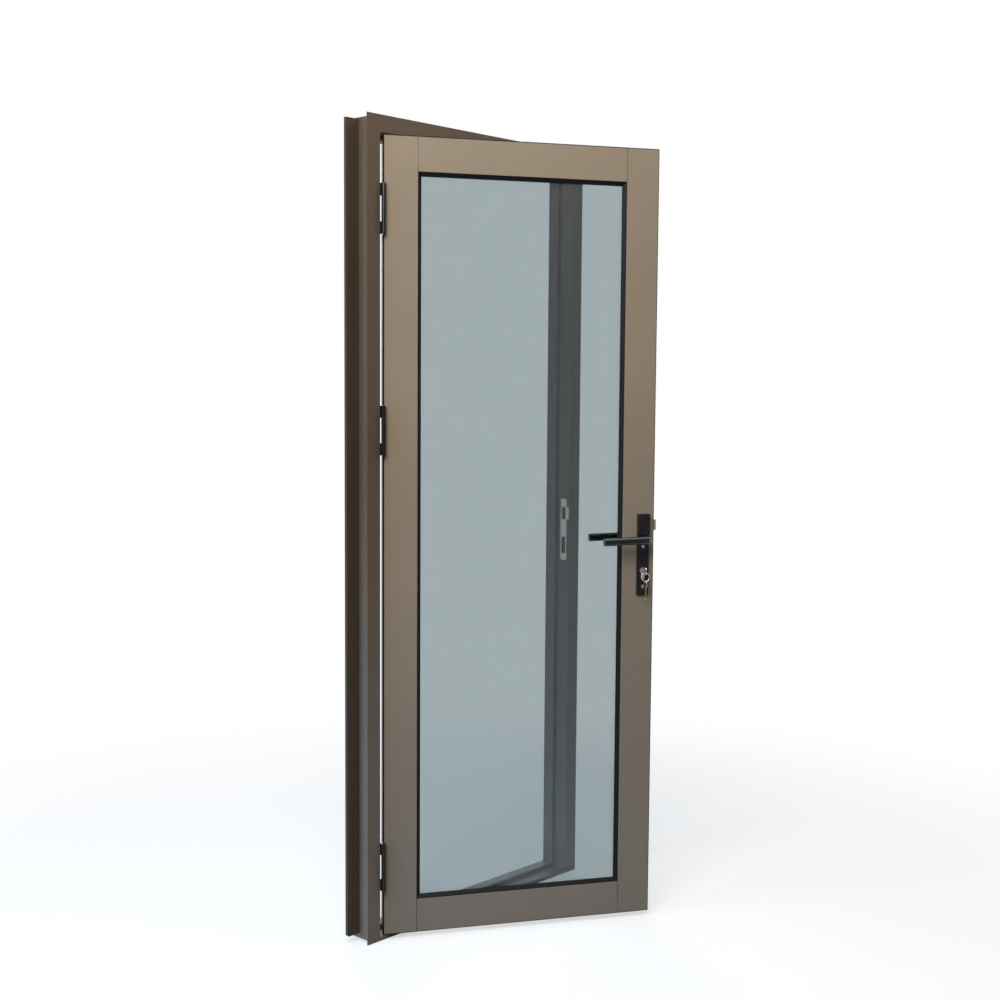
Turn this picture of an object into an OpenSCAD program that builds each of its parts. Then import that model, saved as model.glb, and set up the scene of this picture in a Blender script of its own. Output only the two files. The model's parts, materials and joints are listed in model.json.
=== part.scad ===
// Glazed aluminium door leaf in its own frame, hung open on three butt hinges.
// Millimetres. +X runs from the hinge jamb to the strike jamb, the front faces -Y and +Z is up.
// The origin is the middle of the sill's underside.

/* [Frame] */
// Overall width over the front lips
frame_w = 822; // [760:1:1000]
// Overall height over the front lips
frame_h = 2100; // [1950:1:2400]
// Depth from the front face to the back
frame_d = 78; // [76:1:100]
// Width of the front face, lip included
face_w = 43; // [40:0.5:60]
// Overhang of the front lip past the body
lip = 8; // [5:0.5:12]
// Wall of the frame and leaf extrusions
wall = 2; // [1.6:0.1:2.4]
// Height of the stop that the leaf closes against
stop_h = 12; // [11:0.5:18]
// Height of the sill's floor above its underside
sill_h = 11; // [9:0.5:16]
// Width of the groove that holds the weather seal
groove_w = 4; // [3:0.5:5]
// Depth of the groove that holds the weather seal
groove_d = 3; // [2:0.5:4]
// Length of each leg of the corner cleats
cleat_leg = 70; // [50:1:90]
// Diameter of the holes for the wall fixings
fixing_d = 8; // [6:0.5:10]
// Height of the lower wall fixing
fixing_low = 80; // [40:1:100]
// Distance of the upper wall fixing below the frame's top
fixing_high = 100; // [70:1:130]
// Setback of the wall fixings behind the rebate's floor
fixing_in = 11; // [9:0.5:14]

/* [Rear trim] */
// Width of the trim flange past the jamb's body
trim_w = 41; // [30:1:60]
// Sheet thickness of the trim
trim_t = 2; // [1.5:0.1:3]
// Depth of the flange behind the front face
trim_back = 40; // [30:1:44]
// Return along the flange's outer edge
trim_return = 8; // [5:0.5:12]
// Leg of the trim that lies on the jamb's side
trim_leg = 28; // [20:1:30]
// Height of the trim's foot above the sill's underside
trim_foot = 21; // [10:1:40]
// Distance of the trim's head below the body's top
trim_head = 4; // [2:1:20]
// Bevel of the flange's lower outer corner
trim_bevel = 5; // [4:1:15]
// Distance of the outermost trim screws from the trim's ends
trim_screw_end = 100; // [60:1:150]

/* [Leaf] */
// Angle that the leaf stands open at rest
open_angle = 32.4; // [0:0.1:90]
// Thickness of the leaf
leaf_t = 40; // [38:0.5:46]
// Gap between the leaf and the frame at the sides and top
side_gap = 6; // [6:0.5:8]
// Gap between the leaf and the sill's floor
bottom_gap = 5; // [4:0.5:12]
// Gap behind the closed leaf that the weather seal fills
seal_gap = 4; // [3:0.5:6]
// Face width of the stiles
stile_w = 85; // [82:1:110]
// Face width of the rails
rail_w = 85; // [75:1:140]
// Length of the cleats inside the rails
rail_cleat_l = 45; // [30:1:80]
// Depth of the caps in the stile ends
cap_h = 8; // [5:1:15]
// Open joint between the rails' faces and the stiles
joint_gap = 1.2; // [0.5:0.1:2]
// Rise of the seal round the leaf's edges
edge_seal_t = 3; // [2:0.1:3.2]
// Width of that seal
edge_seal_w = 8; // [5:0.5:8]
// Setback of that seal behind the leaf's face
edge_seal_in = 0.8; // [0.5:0.1:1]

/* [Glazing] */
// Width of the leg that covers the edge of the glass
leg_w = 17; // [14:0.5:20]
// Depth of the leg's return edge
leg_d = 8; // [6:0.5:9]
// Setback of the glass behind the leaf's face
glass_back = 12; // [11:0.5:14]
// Thickness of each pane
pane_t = 5; // [4:0.5:6]
// Width of the sealed cavity between the panes
cavity = 9; // [6:0.5:11]
// Clearance round the edge of the glass
glass_clear = 5; // [3:0.5:6]
// Width of the gasket face that shows round the glass
gasket_w = 11; // [6:0.5:16]
// Thickness of the gasket behind the glass
rear_gasket_t = 2; // [1.5:0.5:3]
// Width of the spacer bar between the panes
spacer_w = 12; // [8:0.5:16]
// Length of the setting blocks under the glass
block_l = 80; // [40:1:120]

/* [Hinges] */
// Length of each hinge
hinge_l = 125; // [100:1:150]
// Distance of the outer hinges from the leaf's ends
hinge_end = 118; // [80:1:200]
// Distance of the middle hinge's centre below the leaf's top
hinge_mid = 731; // [500:1:1000]
// Diameter of the hinge barrel
barrel_d = 12; // [11:0.5:14]
// Diameter of the hinge pin
pin_d = 7; // [6:0.5:8.5]
// Thickness of the hinge leaves
hinge_t = 2.5; // [2:0.1:2.6]
// Width of the hinge leaves on the frame and the stile
hinge_w = 30; // [24:1:34]
// Distance of the hinge axis in front of the leaf's face
axis_out = 10; // [7.5:0.5:12]
// Gap between the knuckles along the pin
knuckle_gap = 0.8; // [0.5:0.1:1.5]
// Diameter of the hinge screws
hinge_screw_d = 4; // [3:0.5:5]

/* [Handle] */
// Distance of the spindle and cylinder from the leaf's lock edge
backset = 30; // [28:0.5:34]
// Height of the spindle above the sill's underside
spindle_z = 1033; // [900:1:1150]
// Width of the handle plates
plate_w = 32; // [28:1:40]
// Height of the handle plates
plate_h = 217; // [210:1:240]
// Thickness of the handle plates
plate_t = 7; // [5:0.5:9]
// Distance of the plate's top above the spindle
plate_up = 66.5; // [62:0.5:76]
// Height of the raised block at the plate's top
plate_block_h = 55.5; // [40:0.5:56.5]
// Rise of that block above the plate
plate_block_t = 7; // [3:0.5:10]
// Corner radius of the handle plates
plate_r = 3; // [1:0.5:6]
// Diameter of the lever's grip
grip_d = 21; // [18:0.5:24]
// Diameter of the lever's neck
neck_d = 19; // [16:0.5:20]
// Length of the lever from its spindle to its tip
lever_l = 122; // [100:1:150]
// Distance of the grip's axis from the leaf's face
lever_out = 46; // [42:1:65]
// Droop of the grip towards its tip, in degrees
lever_droop = 1.5; // [0:0.1:4]
// Bevel round the grip's tip
grip_bevel = 1; // [0.5:0.1:2]
// Width of the square spindle
spindle_w = 8; // [7:0.5:9]
// Diameter of the plate screws' heads
plate_screw_d = 9; // [7:0.5:10]
// Distance of the upper plate screw below the spindle
plate_screw_up = 20.7; // [20:0.1:26]
// Distance of the lower plate screw below the spindle
plate_screw_low = 127.6; // [118:0.1:136]

/* [Lock] */
// Distance of the cylinder below the spindle
centres = 85; // [70:1:92]
// Width of the lock case
case_w = 50; // [48:1:54]
// Thickness of the lock case
case_t = 16; // [15:0.5:20]
// Reach of the lock case below the cylinder
case_low = 26.5; // [26:0.5:36]
// Rise of the lock case above the latch
case_up = 5; // [4:0.5:12]
// Sheet thickness of the lock case
case_wall = 1.5; // [1:0.1:2]
// Thickness of the faceplate in the leaf's edge
faceplate_t = 3; // [2.5:0.5:4]
// Width of the faceplate and the strike plate
faceplate_w = 22; // [20:1:26]
// Height of the faceplate
faceplate_h = 220; // [212:1:250]
// Distance of the faceplate's screws from its ends
faceplate_screw_in = 4.5; // [4.5:0.5:10]
// Height of the latch above the spindle
latch_up = 35; // [34:0.5:40]
// Height of the latch head
latch_h = 28; // [20:1:30]
// Thickness of the latch head
latch_t = 12; // [10:0.5:12]
// Throw of the latch past the leaf's edge
latch_throw = 13; // [11:0.5:15]
// Height of the deadbolt's lower face above the cylinder
bolt_up = 25; // [15:0.5:30]
// Height of the deadbolt
bolt_h = 22; // [16:1:24]
// Thickness of the deadbolt
bolt_t = 10; // [8:0.5:11]
// Length of the deadbolt
bolt_l = 36; // [32:1:42]
// Drop of the strike plate below the middle of the two bolts
lock_drop = 5.6; // [3:0.1:8]
// Room below the deadbolt in the strike plate
strike_room = 22; // [6:1:24]
// Height of the strike plate
strike_h = 178; // [170:1:200]
// Distance of the strike plate's screws from its ends
strike_screw_in = 8; // [5:0.5:10]
// Thickness of the strike plate
strike_t = 2; // [1.5:0.5:2.5]
// Diameter of the cylinder's barrel
barrel_lock_d = 17; // [16:0.5:18]
// Diameter of the plug that the key turns
plug_d = 13; // [12:0.5:13.5]
// Reach of the cylinder's cam
cam_r = 14; // [12:0.5:14]
// Diameter of the bow of the keys
bow_d = 22; // [20:0.5:28]
// Thickness of the keys
key_t = 2.2; // [1.8:0.1:2.6]
// Length of the key's blade
blade_l = 27; // [22:1:30]
// Height of the key's blade
blade_h = 8; // [6:0.5:8.5]
// Radius of the key ring at the middle of its wire
ring_r = 11; // [9:0.5:14]
// Diameter of the key ring's wire
wire_d = 2.2; // [1.6:0.1:2.6]

/* [Fits] */
// Radial clearance of a turning fit
run_fit = 0.05; // [0.02:0.01:0.08]
// Clearance of a part that slides or is pushed in by hand
slide_fit = 0.3; // [0.2:0.05:0.5]
// Gap between mitred strips
mitre_gap = 0.1; // [0.05:0.05:0.3]

/* [Hidden] */
$fn = 48;
bronze = [0.36, 0.32, 0.27];
black = [0.10, 0.10, 0.11];
steel = [0.74, 0.74, 0.72];
raw_alu = [0.80, 0.81, 0.82];
brass = [0.80, 0.66, 0.36];
rubber = [0.06, 0.06, 0.06];
clear_glass = [0.72, 0.80, 0.83, 0.45];
// Reach of a cutter past the faces that it opens
over = 1;

// Frame positions
front_y = -frame_d / 2;
body_top = frame_h - lip;
rebate_d = leaf_t + seal_gap;
section_w = face_w + stop_h;
rebate_x = frame_w / 2 - face_w;
rebate_top = frame_h - face_w;
clear_x = rebate_x - stop_h;
fixing_z = [fixing_low, frame_h - fixing_high];
fixing_y = front_y + rebate_d + fixing_in;

// Leaf positions, measured from the hinge axis in the closed pose
axis_x = -rebate_x + side_gap / 2;
axis_y = front_y - axis_out;
leaf_x0 = side_gap / 2;
leaf_w = 2 * rebate_x - 2 * side_gap;
leaf_x1 = leaf_x0 + leaf_w;
leaf_z0 = sill_h + bottom_gap;
leaf_z1 = rebate_top - side_gap;
leaf_h = leaf_z1 - leaf_z0;
tube_w = stile_w - leg_w;
rail_tube_h = rail_w - leg_w;

// Glass positions
glass_x0 = tube_w + glass_clear;
glass_z0 = rail_tube_h + glass_clear;
glass_w = leaf_w - 2 * glass_x0;
glass_h = leaf_h - 2 * glass_z0;
unit_t = 2 * pane_t + cavity;
bead_y = glass_back + unit_t + rear_gasket_t;

// Hinge heights
hinge_z = [leaf_z1 - hinge_end - hinge_l / 2, leaf_z1 - hinge_mid, leaf_z0 + hinge_end + hinge_l / 2];
knuckle_l = hinge_l / 4;
hinge_screw_z = [-0.36 * hinge_l, 0, 0.36 * hinge_l];
hinge_screw_y = [0.35 * hinge_w, 0.72 * hinge_w, 0.35 * hinge_w];
hinge_screw_l = 14;

// Lock heights and depths, measured from the leaf's lock edge and front face
lock_y = leaf_t / 2;
cyl_z = spindle_z - centres;
latch_z = spindle_z + latch_up;
bolt_z = cyl_z + bolt_up;
case_z0 = cyl_z - case_low;
case_z1 = latch_z + latch_h / 2 + case_up;
case_x = -faceplate_t - case_w;
plate_z1 = spindle_z + plate_up;
plate_z0 = plate_z1 - plate_h;
plug_fit_r = plug_d / 2 + run_fit;
cyl_out = plate_t + 1;
tail_w = 10;
tail_h = 24.5;
cam_t = 10;
lock_mid_z = (latch_z + bolt_z + bolt_h / 2) / 2;
face_mid_z = (case_z0 + case_z1) / 2;
strike_mid_z = lock_mid_z - lock_drop;
journal_d = 18;
follower_d = 24;
arm_w = 6;
arm_t = 5;
arm_r = 21;
arm_angle = 20;
lug_low = 16;
lug_h = 4;
lug_w = 4;
key_neck = 5.5;
bow_y = -cyl_out - key_neck - bow_d / 2;
ring_hole_d = 7;
ring_hole_y = bow_y - 5.5;
ring_hole_z = cyl_z - 2;
ring_top_z = ring_hole_z - ring_hole_d / 2 + wire_d / 2 + slide_fit;
ring_z = ring_top_z - ring_r;
spare_hole_d = 5.6;
spare_hole_z = ring_z - ring_r - spare_hole_d / 2 + wire_d / 2 + slide_fit;
spare_bow_z = spare_hole_z - 6;

// Placing and cutting helpers

// Turns what is drawn from the hinge axis in the closed pose to the rest pose
module on_leaf() {
  translate([axis_x, axis_y, 0]) rotate([0, 0, -open_angle]) children();
}

// Origin on the leaf's front face at its lower hinge-side corner
module on_face() {
  on_leaf() translate([leaf_x0, axis_out, leaf_z0]) children();
}

// Origin on the leaf's front face at its lock edge, heights from the sill's underside
module on_lock() {
  on_leaf() translate([leaf_x1, axis_out, 0]) children();
}

// Extrudes a section along X with the section's first axis pointing down or up
module run_down(l) {
  rotate([0, 90, 0]) linear_extrude(l) children();
}
module run_up(l) {
  mirror([0, 0, 1]) run_down(l) children();
}

// A flat outline in XZ drawn out along Y from y0
module slab(y0, d) {
  translate([0, y0 + d, 0]) rotate([90, 0, 0]) linear_extrude(d) children();
}

// Bars of a rectangle w by h with mitred ends, from a section (inward, back) of reach m
mitre = mitre_gap / 2;
module ring_left(h, m, d) {
  intersection() {
    linear_extrude(h) children();
    slab(0, d) polygon([[0, mitre], [m, m + mitre], [m, h - m - mitre], [0, h - mitre]]);
  }
}
module ring_bottom(w, m, d) {
  intersection() {
    run_up(w) children();
    slab(0, d) polygon([[mitre, 0], [w - mitre, 0], [w - m - mitre, m], [m + mitre, m]]);
  }
}
module ring_right(w, h, m, d) {
  translate([w, 0, 0]) mirror([1, 0, 0]) ring_left(h, m, d) children();
}
module ring_top(w, h, m, d) {
  translate([0, 0, h]) mirror([0, 0, 1]) ring_bottom(w, m, d) children();
}
module mitred_ring(w, h, m, d) {
  ring_left(h, m, d) children();
  ring_right(w, h, m, d) children();
  ring_bottom(w, m, d) children();
  ring_top(w, h, m, d) children();
}

// Rounded rectangle from its lower left corner
module rounded(w, h, r) {
  translate([r, 0]) square([w - 2 * r, h]);
  translate([0, r]) square([w, h - 2 * r]);
  for (x = [r, w - r], y = [r, h - r]) translate([x, y]) circle(r);
}

// Rods along X and Y from the origin
module rod_x(r, l) {
  rotate([0, 90, 0]) cylinder(r = r, h = l);
}
module rod_y(r, l) {
  rotate([-90, 0, 0]) cylinder(r = r, h = l);
}

// Countersunk screw along +X with its flat head at x = 0, grown by g as a cutter
module flat_screw_x(d, l, g = 0) {
  rotate([0, 90, 0]) {
    cylinder(r1 = d + g, r2 = d / 2 + g, h = d / 2);
    cylinder(r = d / 2 + g, h = l);
  }
}

// Frame

// Section of a jamb or the head: across from the lip's edge, and back from the front
module frame_section() {
  difference() {
    polygon([[0, 0], [face_w, 0], [face_w, rebate_d], [section_w, rebate_d], [section_w, frame_d],
      [lip, frame_d], [lip, wall], [0, wall]]);
    translate([lip + wall, wall]) square([face_w - lip - 2 * wall, rebate_d - wall]);
    difference() {
      translate([lip + wall, rebate_d + wall])
        square([section_w - lip - 2 * wall, frame_d - rebate_d - 2 * wall]);
      translate([face_w + (stop_h - groove_w) / 2 - wall, rebate_d])
        square([groove_w + 2 * wall, groove_d + wall]);
    }
    translate([face_w + (stop_h - groove_w) / 2, rebate_d]) square([groove_w, groove_d]);
  }
}

// Axes of the wall fixings on the hinge jamb, running inwards from the trim
module fixing_places() {
  for (z = fixing_z) translate([-frame_w / 2 + lip - trim_t, fixing_y, z]) children();
}

// Hinge-side jamb with its mitred top and its front wall that runs down past the body
module plain_jamb() {
  difference() {
    intersection() {
      translate([-frame_w / 2, front_y, 0]) linear_extrude(frame_h) frame_section();
      translate([-frame_w / 2, 0, 0]) slab(front_y, frame_d)
        polygon([[0, 0], [section_w, 0], [section_w, frame_h - section_w], [0, frame_h]]);
    }
    translate([-frame_w / 2 + lip - over, front_y + wall, -over]) cube([section_w, frame_d, lip + over]);
    fixing_places() rod_x(fixing_d / 2, section_w);
    trim_screw_places() rod_x(trim_screw_d / 2 + run_fit, trim_screw_l);
  }
}

module hinge_jamb() {
  color(bronze) difference() {
    plain_jamb();
    frame_hinge_places() hinge_screw_cut();
  }
}

module strike_jamb() {
  color(bronze) difference() {
    mirror([1, 0, 0]) plain_jamb();
    translate([rebate_x - over, front_y, 0]) {
      strike_holes(wall + 2 * over);
    }
    strike_screw_places() rod_x(strike_screw_d / 2 + run_fit, strike_screw_l);
  }
}

module head() {
  color(bronze) intersection() {
    translate([-frame_w / 2, front_y, frame_h]) run_down(frame_w) frame_section();
    translate([-frame_w / 2, 0, frame_h]) slab(front_y, frame_d)
      polygon([[0, 0], [frame_w, 0], [frame_w - section_w, -section_w], [section_w, -section_w]]);
  }
}

// Section of the sill: up from its underside, and back from the front
module sill_section() {
  difference() {
    polygon([[0, 0], [sill_h, 0], [sill_h, rebate_d], [sill_h + stop_h, rebate_d],
      [sill_h + stop_h, frame_d], [0, frame_d]]);
    translate([wall, wall]) square([sill_h - 2 * wall, rebate_d - wall]);
    difference() {
      translate([wall, rebate_d + wall])
        square([sill_h + stop_h - 2 * wall, frame_d - rebate_d - 2 * wall]);
      translate([sill_h + (stop_h - groove_w) / 2 - wall, rebate_d])
        square([groove_w + 2 * wall, groove_d + wall]);
    }
    translate([sill_h + (stop_h - groove_w) / 2, rebate_d]) square([groove_w, groove_d]);
  }
}

module sill() {
  color(bronze) difference() {
    translate([-rebate_x, front_y, 0]) run_up(2 * rebate_x) sill_section();
    for (side = [0, 1]) mirror([side, 0, 0])
      translate([clear_x, front_y + rebate_d, -over])
        cube([stop_h + over, frame_d, stop_h + sill_h + 2 * over]);
  }
}

// Angle blocks inside the front chambers at the head's mitres
module corner_cleats() {
  block_w = face_w - lip - 2 * wall - 2 * slide_fit;
  block_d = rebate_d - wall - 2 * slide_fit;
  color(raw_alu) for (side = [0, 1]) mirror([side, 0, 0])
    translate([-frame_w / 2 + lip + wall + slide_fit, front_y + wall + slide_fit, body_top - wall]) {
      translate([0, 0, -cleat_leg - block_w]) cube([block_w, block_d, cleat_leg + block_w - slide_fit]);
      translate([0, 0, -block_w - slide_fit]) cube([cleat_leg + block_w, block_d, block_w]);
    }
}

// Weather seals in the stop's grooves: section across the stop, and back from the rebate's floor
module seal_section() {
  nose = 0.5;
  shoulder = groove_w / 2 + 1;
  translate([stop_h / 2, 0]) polygon([[-groove_w / 2, groove_d], [-groove_w / 2, 0], [-shoulder, 0],
    [-shoulder + 1, -seal_gap / 2], [0, -seal_gap + nose], [shoulder - 1, -seal_gap / 2], [shoulder, 0],
    [groove_w / 2, 0], [groove_w / 2, groove_d]]);
}

module weather_seals() {
  seal_z = sill_h + stop_h;
  seal_h = rebate_top - seal_z;
  seal_y = front_y + rebate_d;
  color(rubber) {
    for (side = [0, 1]) mirror([side, 0, 0]) intersection() {
      translate([-rebate_x, seal_y, seal_z]) linear_extrude(seal_h) seal_section();
      translate([-rebate_x, 0, seal_z]) slab(front_y, frame_d)
        polygon([[0, 0], [stop_h, 0], [stop_h, seal_h - stop_h], [0, seal_h]]);
    }
    intersection() {
      translate([-rebate_x, seal_y, rebate_top]) run_down(2 * rebate_x) seal_section();
      translate([-rebate_x, 0, rebate_top]) slab(front_y, frame_d)
        polygon([[0, 0], [2 * rebate_x, 0], [2 * rebate_x - stop_h, -stop_h], [stop_h, -stop_h]]);
    }
    translate([-clear_x, seal_y, sill_h]) run_up(2 * clear_x) seal_section();
  }
}

// Rear trims: an angle on each jamb's side with a returned outer edge
trim_screw_d = 4;
trim_screw_l = 12;
trim_screw_head = 2;
trim_h = body_top - trim_foot - trim_head;
trim_screw_n = 4;
trim_screw_step = (trim_h - 2 * trim_screw_end) / (trim_screw_n - 1);
trim_screw_z = [for (i = [0:trim_screw_n - 1]) trim_foot + trim_screw_end + i * trim_screw_step];

// Places of the trim screws on the hinge jamb, running inwards along X
module trim_screw_places() {
  for (z = trim_screw_z)
    translate([-frame_w / 2 + lip - trim_t, front_y + trim_back + trim_leg / 2 + trim_t, z]) children();
}

module plain_trim() {
  x0 = -frame_w / 2 + lip - trim_w;
  difference() {
    translate([x0, front_y + trim_back, trim_foot]) linear_extrude(trim_h) {
      square([trim_w, trim_t]);
      square([trim_t, trim_return]);
      translate([trim_w - trim_t, 0]) square([trim_t, trim_leg]);
    }
    translate([x0, 0, trim_foot]) slab(front_y + trim_back - over, trim_return + 2 * over)
      polygon([[-over, -over], [trim_bevel, -over], [-over, trim_bevel]]);
    trim_screw_places() translate([-over, 0, 0]) rod_x(trim_screw_d / 2 + run_fit, trim_t + 2 * over);
    fixing_places() translate([-over, 0, 0]) rod_x(fixing_d / 2, trim_t + 2 * over);
  }
}

module hinge_trim() {
  color(bronze) plain_trim();
}
module strike_trim() {
  color(bronze) mirror([1, 0, 0]) plain_trim();
}

module trim_screws() {
  color(black) for (side = [0, 1]) mirror([side, 0, 0]) trim_screw_places() {
    rod_x(trim_screw_d / 2, trim_screw_l);
    translate([-trim_screw_head, 0, 0]) rod_x(trim_screw_d, trim_screw_head);
  }
}

// Strike plate on the strike jamb's rebate
strike_screw_d = 4;
strike_screw_l = 14;

// Slots for the latch and the deadbolt, cut along X over a length l
module strike_holes(l) {
  room = 4;
  hole_w = latch_t + 2;
  translate([0, lock_y - hole_w / 2, latch_z - latch_h / 2 - room]) cube([l, hole_w, latch_h + 2 * room]);
  translate([0, lock_y - hole_w / 2, bolt_z - strike_room]) cube([l, hole_w, bolt_h + strike_room + room]);
}

module strike_screw_places() {
  for (end = [-1, 1])
    translate([rebate_x - strike_t, front_y + lock_y, strike_mid_z + end * (strike_h / 2 - strike_screw_in)])
      children();
}

module strike_plate() {
  lip_h = latch_h + 8;
  lip_l = 8;
  color(steel) difference() {
    translate([rebate_x - strike_t, front_y + lock_y - faceplate_w / 2, 0]) {
      translate([0, 0, strike_mid_z - strike_h / 2]) cube([strike_t, faceplate_w, strike_h]);
      translate([0, -lip_l, latch_z - lip_h / 2]) cube([strike_t, lip_l, lip_h]);
    }
    translate([rebate_x - strike_t - over, front_y, 0]) {
      strike_holes(strike_t + 2 * over);
    }
    strike_screw_places() flat_screw_x(strike_screw_d, strike_screw_l, run_fit);
  }
}

module strike_screws() {
  color(steel) strike_screw_places() flat_screw_x(strike_screw_d, strike_screw_l);
}

// Hinges, drawn about the hinge axis at a height

module frame_hinge_places() {
  for (z = hinge_z) translate([axis_x, axis_y, z]) children();
}
module door_hinge_places() {
  for (z = hinge_z) on_leaf() translate([0, 0, z]) children();
}

// Places of one hinge's screws on the outer face of a hinge leaf's plate
module hinge_screw_places() {
  for (i = [0:2]) translate([0, axis_out + hinge_screw_y[i], hinge_screw_z[i]]) children();
}

// Screws of one frame leaf, which run into the jamb along -X
module frame_screws_of_one() {
  translate([-side_gap / 2 + hinge_t, 0, 0]) mirror([1, 0, 0]) hinge_screw_places() children();
}
module door_screws_of_one() {
  translate([side_gap / 2 - hinge_t, 0, 0]) hinge_screw_places() children();
}
module hinge_screw_cut() {
  frame_screws_of_one() rod_x(hinge_screw_d / 2 + run_fit, hinge_screw_l + over);
}

// Barrel knuckle from z0 to z1
module knuckle(z0, z1) {
  translate([0, 0, z0]) cylinder(d = barrel_d, h = z1 - z0);
}

// Plate of a hinge leaf from the axis back, its outer face at x0
module hinge_plate(x0) {
  translate([x0, 0, -hinge_l / 2]) cube([hinge_t, axis_out + hinge_w, hinge_l]);
}

// Room for the other leaf's knuckle from z0 to z1, back to where that leaf's plate lies
module knuckle_room(z0, z1) {
  room_r = axis_out + hinge_t + slide_fit;
  translate([0, 0, z0 - slide_fit]) cylinder(r = room_r, h = z1 - z0 + 2 * slide_fit);
}

module hinge_bore() {
  translate([0, 0, -hinge_l]) cylinder(r = pin_d / 2 + run_fit, h = 2 * hinge_l);
}

module hinge_frame_leaf(z) {
  color(black) translate([axis_x, axis_y, z]) difference() {
    union() {
      difference() {
        hinge_plate(-side_gap / 2);
        knuckle_room(-knuckle_l, knuckle_l);
      }
      knuckle(-hinge_l / 2, -knuckle_l);
      knuckle(knuckle_l, hinge_l / 2);
    }
    hinge_bore();
    frame_screws_of_one() flat_screw_x(hinge_screw_d, hinge_screw_l, run_fit);
  }
}

module hinge_door_leaf(z) {
  color(black) on_leaf() translate([0, 0, z]) difference() {
    union() {
      difference() {
        hinge_plate(side_gap / 2 - hinge_t);
        knuckle_room(-hinge_l / 2 - over, -knuckle_l);
        knuckle_room(knuckle_l, hinge_l / 2 + over);
      }
      knuckle(-knuckle_l + knuckle_gap, knuckle_l - knuckle_gap);
    }
    hinge_bore();
    door_screws_of_one() flat_screw_x(hinge_screw_d, hinge_screw_l, run_fit);
  }
}

module hinge_pin(z) {
  color(black) translate([axis_x, axis_y, z - hinge_l / 2]) cylinder(d = pin_d, h = hinge_l);
}

module hinge_frame_screws() {
  color(black) frame_hinge_places() frame_screws_of_one() flat_screw_x(hinge_screw_d, hinge_screw_l);
}
module hinge_door_screws() {
  color(black) door_hinge_places() door_screws_of_one() flat_screw_x(hinge_screw_d, hinge_screw_l);
}

// Leaf

// Section of a stile or rail of face width w: across from the outer edge, and back from the front
module leaf_section(w) {
  tube = w - leg_w;
  difference() {
    union() {
      square([tube, leaf_t]);
      square([w, wall]);
      translate([w - wall, 0]) square([wall, leg_d]);
    }
    translate([wall, wall]) square([tube - 2 * wall, leaf_t - 2 * wall]);
  }
}

module hinge_stile() {
  color(bronze) difference() {
    on_face() linear_extrude(leaf_h) leaf_section(stile_w);
    door_hinge_places() door_screws_of_one() rod_x(hinge_screw_d / 2 + run_fit, hinge_screw_l + over);
  }
}

module lock_stile() {
  color(bronze) difference() {
    on_face() translate([leaf_w, 0, 0]) mirror([1, 0, 0]) linear_extrude(leaf_h) leaf_section(stile_w);
    on_lock() {
      translate([-wall - over, lock_y - faceplate_w / 2, face_mid_z - faceplate_h / 2])
        cube([wall + 2 * over, faceplate_w, faceplate_h]);
      translate([-backset, -over, spindle_z]) rod_y(neck_d / 2 + 2, leaf_t + 2 * over);
      translate([-backset, 0, cyl_z]) slab(-over, leaf_t + 2 * over) cylinder_outline(2 * slide_fit);
      plate_screw_places() translate([0, -over, 0])
        rod_y(plate_bolt_d / 2 + 2 * slide_fit, leaf_t + 2 * over);
    }
  }
}

// Rail between the stiles, its ends cut back behind the stiles' legs
module plain_rail() {
  difference() {
    union() {
      translate([tube_w, 0, 0]) run_up(leaf_w - 2 * tube_w) difference() {
        leaf_section(rail_w);
        translate([rail_tube_h, -over]) square([leg_w + over, leaf_t]);
      }
      translate([stile_w + joint_gap, 0, 0]) run_up(leaf_w - 2 * (stile_w + joint_gap)) difference() {
        leaf_section(rail_w);
        translate([-over, wall]) square([rail_tube_h + over, leaf_t]);
      }
    }
    for (x = [tube_w - over, leaf_w - stile_w - joint_gap])
      translate([x, -over, -over]) cube([leg_w + joint_gap + over, leg_d + over, rail_w + 2 * over]);
  }
}

module bottom_rail() {
  color(bronze) on_face() plain_rail();
}
module top_rail() {
  color(bronze) on_face() translate([0, 0, leaf_h]) mirror([0, 0, 1]) plain_rail();
}

// Blocks that fix the rails' chambers to the stiles
module rail_cleats() {
  d = leaf_t - leg_d - wall - 2 * slide_fit;
  h = rail_tube_h - 2 * wall - 2 * slide_fit;
  color(raw_alu) on_face()
    for (x = [tube_w, leaf_w - tube_w - rail_cleat_l], z = [wall + slide_fit, leaf_h - wall - slide_fit - h])
      translate([x, leg_d + slide_fit, z]) cube([rail_cleat_l, d, h]);
}

// Plugs in the open ends of the stiles
module stile_caps() {
  w = tube_w - 2 * wall - 2 * slide_fit;
  d = leaf_t - 2 * wall - 2 * slide_fit;
  color(black) on_face()
    for (x = [wall + slide_fit, leaf_w - wall - slide_fit - w], z = [0, leaf_h - cap_h])
      translate([x, wall + slide_fit, z]) cube([w, d, cap_h]);
}

// Rubber seal round the leaf's edges, left open at the hinges
module edge_seal_section() {
  crown = edge_seal_w / 3;
  translate([0, edge_seal_in]) polygon([[0, crown], [edge_seal_t, 0], [edge_seal_t, edge_seal_w],
    [0, edge_seal_w - crown]]);
}
module leaf_seal() {
  reach = edge_seal_t;
  gap_h = hinge_l + 2 * slide_fit;
  color(rubber) difference() {
    on_face() translate([-reach, 0, -reach])
      mitred_ring(leaf_w + 2 * reach, leaf_h + 2 * reach, reach, leaf_t) edge_seal_section();
    door_hinge_places() translate([leaf_x0 - reach - over, 0, -gap_h / 2])
      cube([reach + 2 * over, leaf_t, gap_h]);
  }
}

// Glazing

module pane(y) {
  color(clear_glass) on_face() translate([glass_x0, y, glass_z0]) cube([glass_w, pane_t, glass_h]);
}
module outer_pane() {
  pane(glass_back);
}
module inner_pane() {
  pane(glass_back + pane_t + cavity);
}

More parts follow.
